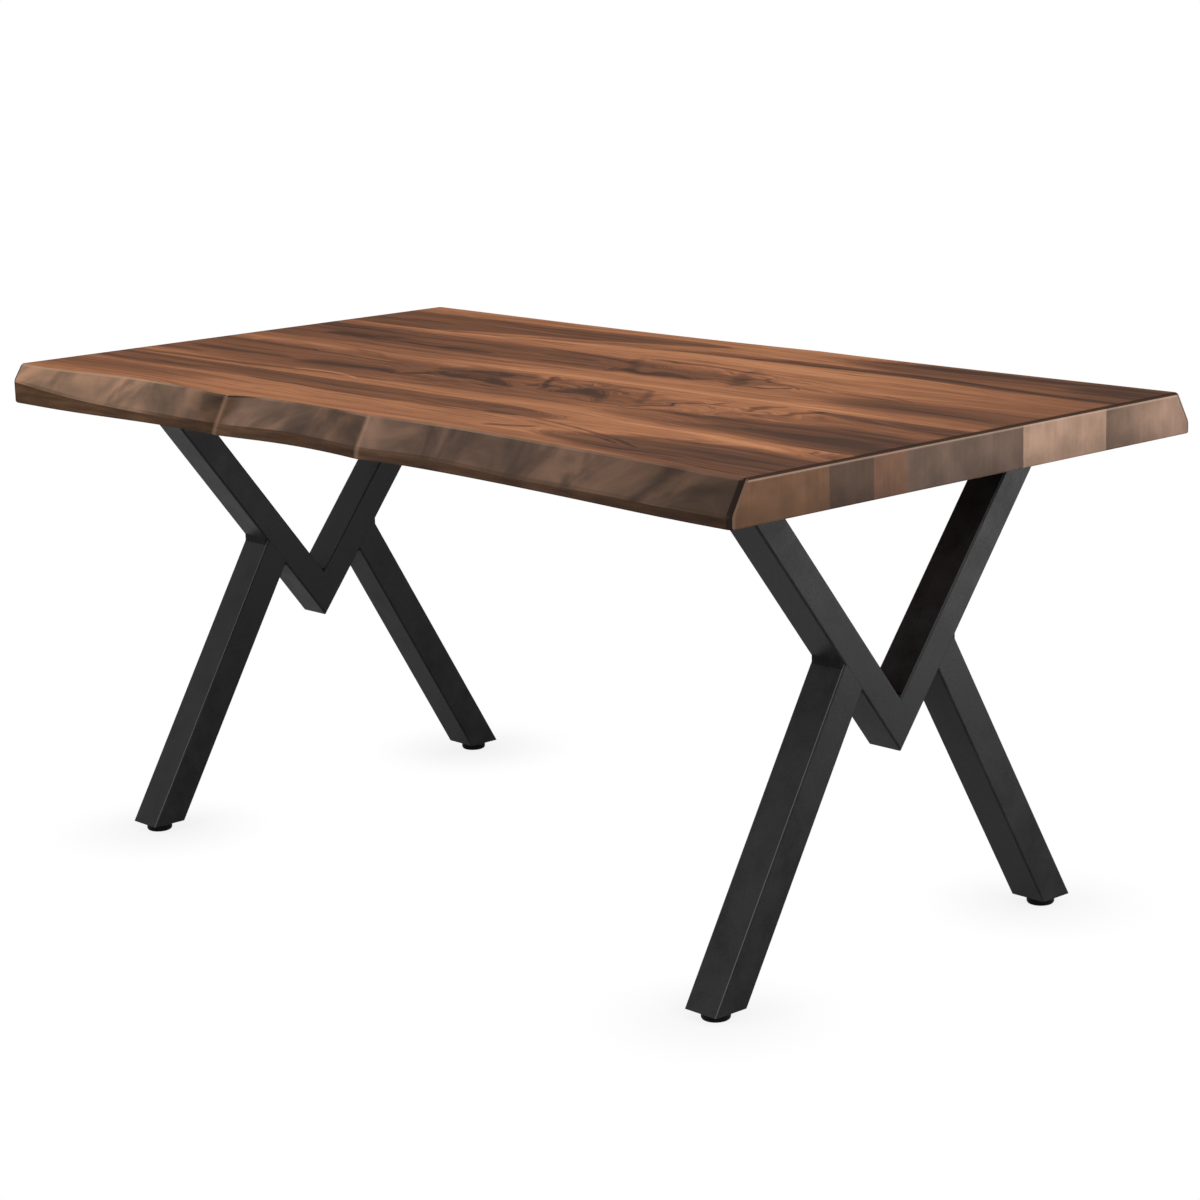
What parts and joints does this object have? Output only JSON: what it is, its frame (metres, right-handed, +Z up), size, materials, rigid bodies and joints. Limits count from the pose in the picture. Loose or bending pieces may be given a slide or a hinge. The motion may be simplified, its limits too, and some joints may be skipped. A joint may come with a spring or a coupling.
{
  "type": "dining table",
  "caption": "Walnut slab dining table with hand-carved live edges on welded black steel leg frames, V-shaped above and splayed below, standing on screw-in levelling feet.",
  "frame": {"origin": "on the floor under the middle of the top", "axes": "+X along the table's length, to the right of someone facing its front; +Y from the front to the back; +Z up"},
  "size_m": [1.6, 0.9, 0.75],
  "materials": {
    "walnut": "oiled satin",
    "black_powder_coat": "fine-textured matt powder coat",
    "black_plastic": "moulded matt",
    "zinc_steel": "zinc plated"
  },
  "bodies": {
    "table": {"left_arm_back": "black_powder_coat", "left_arm_front": "black_powder_coat", "left_back_leg_insert": "black_plastic", "left_front_leg_insert": "black_plastic", "left_leg_back": "black_powder_coat", "left_leg_front": "black_powder_coat", "left_mounting_plate": "black_powder_coat", "left_plate_screws": "zinc_steel", "left_weld_crotch": "black_powder_coat", "left_weld_knees": "black_powder_coat", "left_weld_notches": "black_powder_coat", "left_weld_seams": "black_powder_coat", "right_arm_back": "black_powder_coat", "right_arm_front": "black_powder_coat", "right_back_leg_insert": "black_plastic", "right_front_leg_insert": "black_plastic", "right_leg_back": "black_powder_coat", "right_leg_front": "black_powder_coat", "right_mounting_plate": "black_powder_coat", "right_plate_screws": "zinc_steel", "right_weld_crotch": "black_powder_coat", "right_weld_knees": "black_powder_coat", "right_weld_notches": "black_powder_coat", "right_weld_seams": "black_powder_coat", "top_board_1": "walnut", "top_board_2": "walnut", "top_board_3": "walnut", "top_board_4": "walnut"},
    "left_front_stem": {"left_front_foot_stem": "zinc_steel"},
    "left_front_pad": {"left_front_foot_pad": "black_plastic"},
    "left_back_stem": {"left_back_foot_stem": "zinc_steel"},
    "left_back_pad": {"left_back_foot_pad": "black_plastic"},
    "right_front_stem": {"right_front_foot_stem": "zinc_steel"},
    "right_front_pad": {"right_front_foot_pad": "black_plastic"},
    "right_back_stem": {"right_back_foot_stem": "zinc_steel"},
    "right_back_pad": {"right_back_foot_pad": "black_plastic"}
  },
  "joints": [
    {"name": "left_front_foot_height", "type": "slide", "parent": "table", "child": "left_front_stem", "axis": [0, 0, -1], "range_m": [0, 0.012]},
    {"name": "left_front_foot_turn", "type": "hinge", "parent": "left_front_stem", "child": "left_front_pad", "pos_m": [-0.635, -0.33003, 0], "axis": [0, 0, -1], "range_deg": [0, 2880]},
    {"name": "left_back_foot_height", "type": "slide", "parent": "table", "child": "left_back_stem", "axis": [0, 0, -1], "range_m": [0, 0.012]},
    {"name": "left_back_foot_turn", "type": "hinge", "parent": "left_back_stem", "child": "left_back_pad", "pos_m": [-0.635, 0.33003, 0], "axis": [0, 0, -1], "range_deg": [0, 2880]},
    {"name": "right_front_foot_height", "type": "slide", "parent": "table", "child": "right_front_stem", "axis": [0, 0, -1], "range_m": [0, 0.012]},
    {"name": "right_front_foot_turn", "type": "hinge", "parent": "right_front_stem", "child": "right_front_pad", "pos_m": [0.635, -0.33003, 0], "axis": [0, 0, -1], "range_deg": [0, 2880]},
    {"name": "right_back_foot_height", "type": "slide", "parent": "table", "child": "right_back_stem", "axis": [0, 0, -1], "range_m": [0, 0.012]},
    {"name": "right_back_foot_turn", "type": "hinge", "parent": "right_back_stem", "child": "right_back_pad", "pos_m": [0.635, 0.33003, 0], "axis": [0, 0, -1], "range_deg": [0, 2880]}
  ],
  "couplings": [
    {"joint": "left_front_foot_height", "follows": "left_front_foot_turn", "m_per_rad": 0.00023873},
    {"joint": "left_back_foot_height", "follows": "left_back_foot_turn", "m_per_rad": 0.00023873},
    {"joint": "right_front_foot_height", "follows": "right_front_foot_turn", "m_per_rad": 0.00023873},
    {"joint": "right_back_foot_height", "follows": "right_back_foot_turn", "m_per_rad": 0.00023873}
  ]
}
